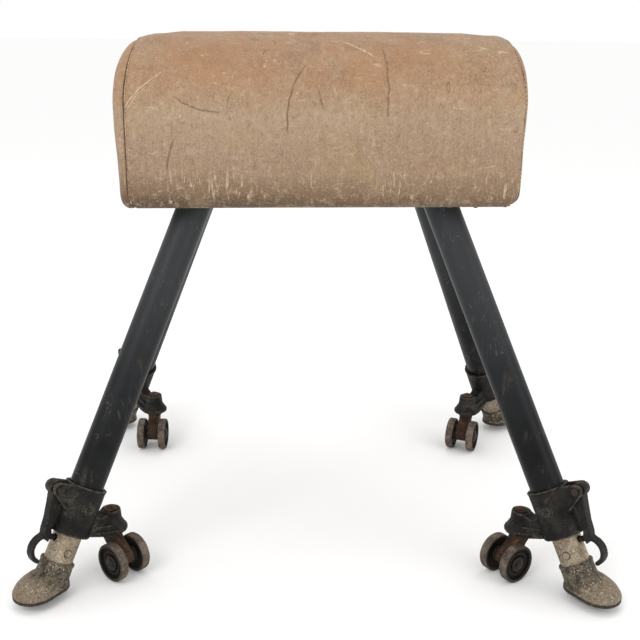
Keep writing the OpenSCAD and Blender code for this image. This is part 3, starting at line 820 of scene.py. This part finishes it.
def swell(obj, held):
    """Lets the skin swell between the seams and nails that hold it, as leather over a stuffed core."""
    rest, normals = get_points(obj), get_normals(obj)
    group = obj.vertex_groups.new(name="held")
    group.add([int(i) for i in held], 1.0, "REPLACE")
    cloth = obj.modifiers.new("cloth", "CLOTH")
    cloth.settings.quality = 6
    cloth.settings.mass = 0.6
    cloth.settings.tension_stiffness = 60
    cloth.settings.compression_stiffness = 60
    cloth.settings.shear_stiffness = 30
    cloth.settings.bending_stiffness = 8
    cloth.settings.use_pressure = True
    cloth.settings.uniform_pressure_force = 4.0
    cloth.settings.vertex_group_mass = "held"
    cloth.settings.effector_weights.gravity = 0
    cloth.collision_settings.use_collision = False
    cloth.point_cache.frame_start, cloth.point_cache.frame_end = 1, 20
    scene = bpy.context.scene
    for step in range(1, 21):
        scene.frame_set(step)
    apply_modifiers(obj)
    scene.frame_set(1)
    moved = get_points(obj) - rest
    outwards = np.sum(moved * normals, axis=1)
    moved -= normals * np.minimum(outwards, 0)[:, None]      # the stuffing holds it from within
    length = np.linalg.norm(moved, axis=1)
    cap = np.minimum(1.0, SWELL / np.maximum(length, 1e-9))
    set_points(obj, rest + moved * cap[:, None])


def settle_skin(obj):
    """Long shallow dents and a slight sag, where decades of use have moved the stuffing."""
    points, normals = get_points(obj), get_normals(obj)
    depth = []
    for x, y, z in points:
        dent = noise.fractal(Vector((x * 7, y * 7 + 3, z * 7)), 1.0, 2.0, 3)
        small = noise.fractal(Vector((x * 42, y * 42, z * 30 + 5)), 1.0, 2.0, 2)
        depth.append(0.0018 * dent + 0.0003 * small - 0.0008)
    flat = np.clip((points[:, 2] - BODY_LOW.z) / 0.02, 0, 1)
    points += normals * (np.array(depth) * flat)[:, None]
    set_points(obj, hang_hem(points))


def hang_hem(points):
    """Lets the rolled lower edge hang below the base board, more so at the left end."""
    low = np.clip((BODY_LOW.z + 0.045 - points[:, 2]) / 0.045, 0, 1) ** 1.5
    from_rim = np.minimum(BODY_HIGH.y - np.abs(points[:, 1]), BODY_HIGH.x - np.abs(points[:, 0]))
    rim = np.clip((0.034 - from_rim) / 0.016, 0, 1)
    share = np.clip((points[:, 0] - BODY_LOW.x) / (BODY_HIGH.x - BODY_LOW.x), 0, 1)
    points[:, 2] -= (HEM_HANG[0] * (1 - share) + HEM_HANG[1] * share) * low * rim * rim * (3 - 2 * rim)
    return points


def offset_line(points, rings, seam, towards, distance, rise):
    """A line on the skin at a set distance from a seam, lifted a little off it."""
    line = []
    first, second = points[rings[seam]], points[rings[seam + towards]]
    third = points[rings[seam + 2 * towards]]
    for p, q, r in zip(first, second, third):
        d1, d2 = np.linalg.norm(q - p), np.linalg.norm(r - q)
        spot = p + (q - p) * distance / d1 if distance < d1 else q + (r - q) * min(1.0, (distance - d1) / d2)
        outward = Vector(spot) - Vector((BODY_MID.x + (spot[0] - BODY_MID.x) * 0.8, 0, BODY_MID.z))
        line.append((spot, outward.normalized() * rise))
    return line


def seam_run(points):
    """The part of a ring that isn't under the body."""
    keep = [i for i, p in enumerate(points) if p[2] > BODY_LOW.z + 0.0025]
    start = max(range(len(keep)), key=lambda k: (keep[k] - keep[k - 1]) % len(points))
    return keep[start:] + keep[:start]


def resample(line, pitch):
    line = np.array(line)
    steps = np.linalg.norm(np.diff(line, axis=0), axis=1)
    place = np.concatenate([[0], np.cumsum(steps)])
    at = np.arange(0, place[-1], pitch)
    return np.stack([np.interp(at, place, line[:, k]) for k in range(3)], axis=1)


def stitches(name, line, pitch=0.0060, length=0.0042, radius=0.00075):
    """Single saddle stitches lying along a line."""
    dots = resample(line, pitch)
    vertices, faces = [], []
    for k in range(1, len(dots) - 1):
        along = Vector(dots[k + 1] - dots[k - 1]).normalized()
        centre = Vector(dots[k])
        lift = (centre - Vector((centre.x * 0.8, 0, BODY_MID.z))).normalized()
        path = [centre + along * length * t - lift * radius * (2 * t) ** 2 * 1.5
                for t in (-0.5, -0.25, 0, 0.25, 0.5)]
        v, f = tube_along(path, radius, 6)
        base = len(vertices)
        vertices += v
        faces += [tuple(base + i for i in face) for face in f]
    return add_object(name, vertices, faces)


def split_skin(skin, zones, names):
    """Cuts the skin along its seams into the cover and the two end panels."""
    pieces = []
    for zone, name in enumerate(names):
        bm = bmesh.new()
        bm.from_mesh(skin.data)
        bm.faces.ensure_lookup_table()
        doomed = []
        for face, own in zip(bm.faces, zones):
            c = face.calc_center_median()
            open_below = (abs(c.x) < BODY_HIGH.x - HEM_WIDTH and abs(c.y) < BODY_HIGH.y - HEM_WIDTH
                          and c.z < BODY_LOW.z + 0.01)
            if own != zone or open_below:
                doomed.append(face)
        bmesh.ops.delete(bm, geom=doomed, context="FACES")
        mesh = bpy.data.meshes.new(name)
        bm.to_mesh(mesh)
        bm.free()
        smooth(mesh)
        obj = bpy.data.objects.new(name, mesh)
        bpy.context.scene.collection.objects.link(obj)
        pieces.append(obj)
    return pieces


def tuck_seams(obj, rings, seams):
    """Draws the skin in along its seams."""
    points, normals = get_points(obj), get_normals(obj)
    for seam in seams:
        for away, depth in ((-1, 0.0005), (0, 0.0018), (1, 0.0005)):
            row = rings[seam + away]
            points[row] -= normals[row] * depth
    set_points(obj, points)


def thicken(obj, depth):
    solid = obj.modifiers.new("thickness", "SOLIDIFY")
    solid.thickness = depth
    solid.offset = -1
    apply_modifiers(obj)
    smooth(obj.data)


def build_body():
    skin, rings, zones, seams = loft_body("skin", SKIN_IN)
    points = get_points(skin)
    under = np.where(points[:, 2] < BODY_LOW.z + 0.003)[0]
    held = np.unique(np.concatenate([under, rings[seams[0]], rings[seams[1]]]))
    swell(skin, held)
    settle_skin(skin)
    tuck_seams(skin, rings, seams)
    points = get_points(skin)

    names = ("end_panel_leather_left", "cover_leather", "end_panel_leather_right")
    left, cover, right = split_skin(skin, zones, names)
    bpy.data.objects.remove(skin)
    for obj, node, material in ((cover, "leather_cover", LEATHER), (left, "end_panel_left", END_LEATHER),
                                (right, "end_panel_right", END_LEATHER)):
        fine = obj.modifiers.new("fine", "SUBSURF")
        fine.levels = fine.render_levels = 1
        apply_modifiers(obj)
        thicken(obj, SKIN)
        place(obj, material, "buck", "body_leather" if node == "leather_cover" else "end_leather", node)

    for side, seam, inwards in (("left", seams[0], 1), ("right", seams[1], -1)):
        run = seam_run(points[rings[seam]])
        # Along each seam: a dark tube in its groove as painted shade, then the stitches beside it.
        groove = offset_line(points, rings, seam, inwards, 0.0, 0.0)
        v, f = tube_along([groove[i][0] + np.array(groove[i][1]) for i in run], 0.0009, 8)
        place(add_object(f"seam_shadow_welt_{side}", v, f), SEAM_SHADOW, "buck", "end_leather")
        line = offset_line(points, rings, seam, inwards, 0.0028, 0.0009)
        sewn = stitches(f"stitches_{side}", [line[i][0] + np.array(line[i][1]) for i in run])
        place(sewn, THREAD, "buck", "end_leather")

    filling = loft_body("stuffing", STUFFING_IN)[0]
    place(filling, HAIR, "buck", "padding", "padding")


# ---------------------------------------------------------------- the castings

# Along the leg's axis from the sole: the collar's sleeve, and the guide in its lower end
SLEEVE_LOW, SLEEVE_HIGH, GUIDE_TOP = 0.086, 0.158, 0.104
INNER_R, OUTER_R = 0.0212, 0.025    # radii of the lower and the upper tube


def build_collar(corner):
    leg = LEGS[corner]
    node = f"latch_collar_{corner}"
    obj = cast_copy(node, 0.0014, 3)
    keep_clear(obj, leg.foot, leg.s, INNER_R + 0.0002, 0.0015, SLEEVE_LOW - 0.004, GUIDE_TOP)
    keep_clear(obj, leg.foot, leg.s, OUTER_R + 0.0002, 0.0020, GUIDE_TOP + 0.0015, SLEEVE_HIGH + 0.004)
    place(obj, COLLAR, "buck", "collar_iron", node)


def build_lever(corner):
    node = f"latch_lever_{corner}"
    place(cast_copy(node, 0.0010, 5, pits=0.00008), LEVER, f"lever_{corner}", "lever_iron", node)


def build_fork(corner):
    node = f"caster_fork_{corner}"
    place(cast_copy(node, 0.0012, 4), FORK, f"caster_{corner}", "fork_iron", node)


WHEEL_R = 0.029
FOOT_SIDES = 64
SOLE_T = 0.004                      # the sole's thickness
HEEL, TOE = (-0.008, 0.026), (0.019, 0.031)  # circles of the shoe: middle out from the axis, radius
NECK_R, NECK_TOP = 0.0245, 0.045


def egg_point(angle, shrink=0.0):
    """The shoe's outline, two circles joined by straight sides, at an angle from its middle."""
    (a, ra), (b, rb) = HEEL, TOE
    middle = (a + b) / 2
    direction = np.array((math.cos(angle), math.sin(angle)))
    best = 0.0
    for t in np.linspace(0, 1, 17):
        centre = np.array((a + (b - a) * t - middle, 0))
        radius = ra + (rb - ra) * t - shrink
        along = centre @ direction
        reach = along + math.sqrt(max(radius ** 2 - (centre @ centre - along ** 2), 0))
        best = max(best, reach)
    return middle + direction[0] * best, direction[1] * best


def build_foot(corner):
    leg = LEGS[corner]
    angles = [2 * math.pi * i / FOOT_SIDES for i in range(FOOT_SIDES)]

    def neck(radius, s):
        return [leg.at(radius * math.cos(a), s, radius * math.sin(a)) for a in angles]

    def sole(shrink, z):
        return [leg.level(h, z, v) for h, v in (egg_point(a, shrink) for a in angles)]

    # From the sole up: the plate's edge, the domed toe, the hollow instep, and the neck
    rings = [sole(shrink, SOLE_T + rise) for shrink, rise in
             ((0.004, 0), (0.0004, 0), (0.0, 0.0012), (0.0, 0.0034), (0.0010, 0.0048))]
    edge = rings[-1]
    throat = []
    for a in angles:
        u, v = (NECK_R + 0.0004) * math.cos(a), (NECK_R + 0.0004) * math.sin(a)
        throat.append(leg.at(u, max(0.0225, (SOLE_T + 0.0085 - u * leg.u.z) / leg.s.z), v))
    for share, rise in ((0.04, 0.14), (0.11, 0.28), (0.22, 0.45), (0.36, 0.60), (0.52, 0.73), (0.68, 0.84),
                        (0.82, 0.92), (0.94, 0.97)):
        ring = []
        for low, high in zip(edge, throat):
            flat = low + (high - low) * share
            ring.append(Vector((flat.x, flat.y, low.z + (high.z - low.z) * rise)))
        rings.append(ring)
    rings.append(throat)
    rings += [neck(NECK_R + more, s) for more, s in
              ((0, 0.0345), (0, 0.038), (0, 0.0402), (0.0007, 0.0410), (0.0009, 0.0430),
               (0.0006, 0.0444), (-0.0006, NECK_TOP))]
    rings += [neck(INNER_R + gap, s) for gap, s in
              ((0.0006, NECK_TOP), (0.0002, NECK_TOP - 0.002), (0.0002, 0.030))]
    vertices = [p for ring in rings for p in ring]
    obj = add_object(f"foot_shoe_{corner}", vertices, ring_faces(len(rings), FOOT_SIDES))
    fine = obj.modifiers.new("fine", "SUBSURF")
    fine.levels = fine.render_levels = 2
    apply_modifiers(obj)
    smooth(obj.data)
    pit(obj, 0.00022, 0.006, seed=CORNERS.index(corner) * 3.1)
    keep_clear(obj, leg.foot, leg.s, INNER_R + 0.0001, 0.001, 0.031, NECK_TOP + 0.001)
    place(obj, foot_material(leg), f"leg_{corner}", "foot_iron", f"foot_{corner}")


def dust_tread(wheel, joint):
    """Gives a wheel's running surface its own material."""
    mesh = wheel.data
    mesh.materials.append(TREAD)
    axis, middle = Vector(joint["axis"]), Vector(joint["pos_m"])
    for face in mesh.polygons:
        rel = face.center - middle
        if (rel - axis * rel.dot(axis)).length > WHEEL_R - 0.0018 and abs(face.normal.dot(axis)) < 0.9:
            face.material_index = 1


# ---------------------------------------------------------------- light, floor and camera

def build_stage():
    bpy.ops.mesh.primitive_plane_add(size=160, location=(0, 0, -0.0002))
    floor = bpy.context.object
    floor.name = "floor"
    s = Shader("pale_floor")
    dress(floor, s.finish((0.97, 0.97, 0.965, 1.0), 0.9, specular=0.0))

    world = bpy.data.worlds.new("studio")
    bpy.context.scene.world = world
    world.use_nodes = True
    background = world.node_tree.nodes["Background"]
    background.inputs["Color"].default_value = (1, 1, 1, 1)
    background.inputs["Strength"].default_value = 1.0

    def soft_light(name, place, aim, size, power):
        light = bpy.data.lights.new(name, "AREA")
        light.shape = "RECTANGLE"
        light.size, light.size_y = size
        light.energy = power
        obj = bpy.data.objects.new(name, light)
        bpy.context.scene.collection.objects.link(obj)
        obj.location = place
        obj.rotation_euler = (Vector(aim) - Vector(place)).to_track_quat("-Z", "Y").to_euler()

    soft_light("key", (-1.6, -2.2, 2.4), (0, 0, 0.45), (1.6, 1.2), 26)
    soft_light("fill", (2.2, -1.6, 1.2), (0, 0, 0.4), (1.4, 1.4), 12)
    soft_light("top", (0.2, 0.4, 3.0), (0, 0, 0.5), (2.0, 2.0), 10)


def build_camera():
    """The photograph's camera: 1.5 m in front, at the height of the body's top, looking down a little."""
    place = Vector((-0.039, -1.513, 0.789))
    pitch, yaw, roll = 0.284, 0.006, 0.007
    ahead = Vector((math.sin(yaw) * math.cos(pitch), math.cos(yaw) * math.cos(pitch), -math.sin(pitch)))
    right = Vector((math.cos(yaw), -math.sin(yaw), 0))
    up = right.cross(ahead)
    right, up = (math.cos(roll) * right + math.sin(roll) * up,
                 -math.sin(roll) * right + math.cos(roll) * up)
    data = bpy.data.cameras.new("camera")
    data.sensor_width = 36
    data.lens = 53.4
    data.shift_x = 0.036
    data.shift_y = -0.02
    camera = bpy.data.objects.new("camera", data)
    bpy.context.scene.collection.objects.link(camera)
    camera.matrix_world = Matrix.Translation(place) @ Matrix((right, up, -ahead)).transposed().to_4x4()
    bpy.context.scene.camera = camera


# ---------------------------------------------------------------- putting it together

build_camera()
build_stage()
bpy.context.scene.view_settings.view_transform = "Standard"

LEATHER = leather_material("cowhide")
END_LEATHER = leather_material("cowhide_ends", front=False)
SEAM_SHADOW = seam_shadow_material()
THREAD = thread_material()
TREAD = tread_material()
HAIR = hair_material()
COLLAR = casting_material("enamelled_iron", colour(14, 14, 14), colour(44, 42, 39), colour(108, 101, 85),
                          colour(70, 58, 44), wear=(0.510, 0.565))
LEVER = casting_material("lever_iron", colour(18, 17, 17), colour(42, 40, 37), colour(116, 108, 96),
                         colour(66, 54, 42), wear=(0.518, 0.59), dull=0.42)
FORK = casting_material("rusty_iron", colour(44, 34, 28), colour(84, 64, 50), colour(120, 98, 76),
                        colour(126, 84, 56), rust_at=(0.50, 0.66), dull=0.6)
STEEL = steel_material("dull_steel", colour(110, 102, 92), colour(62, 54, 46))
RIVET = steel_material("rivet_steel", colour(170, 158, 138), colour(112, 98, 80), 0.3)
AXLE = steel_material("axle_steel", colour(66, 59, 52), colour(26, 23, 21), 0.3)
SPRING = steel_material("spring_steel", colour(96, 90, 82), colour(50, 46, 42), 0.25)
MATERIAL_OF_SLOT = {
    "tube_paint": painted_tube_material(),
    "inner_tube_steel": bare_tube_material(),
    "socket_iron": COLLAR,
    "fastener_steel": STEEL,
    "tack_brass": brass_material(),
    "spring_steel": SPRING,
    "sole_rubber": rubber_material(),
    "wheel_rubber": wheel_material(),
    "board": wood_material(),
    "padding": HAIR,
    "body_leather": LEATHER,
    "end_leather": END_LEATHER,
    "collar_iron": COLLAR,
    "lever_iron": LEVER,
    "foot_iron": FORK,
    "fork_iron": FORK,
}

build_body()
for corner in CORNERS:
    build_collar(corner)
    build_lever(corner)
    build_fork(corner)
    build_foot(corner)

for entry in RECORD["subparts"]:
    node = NODES[entry["node"]]
    dress(node, MATERIAL_OF_SLOT[entry["material_slot"]])
for corner in CORNERS:
    dress(NODES[f"foot_rivet_{corner}"], RIVET)
    dress(NODES[f"caster_axle_{corner}"], AXLE)
    for wheel in "ab":
        dust_tread(NODES[f"caster_wheel_{wheel}_{corner}"], JOINTS[f"wheel_spin_{wheel}_{corner}"])
dress(NODES["lever_pins"], AXLE)
dress(NODES["collar_set_screws"], AXLE)
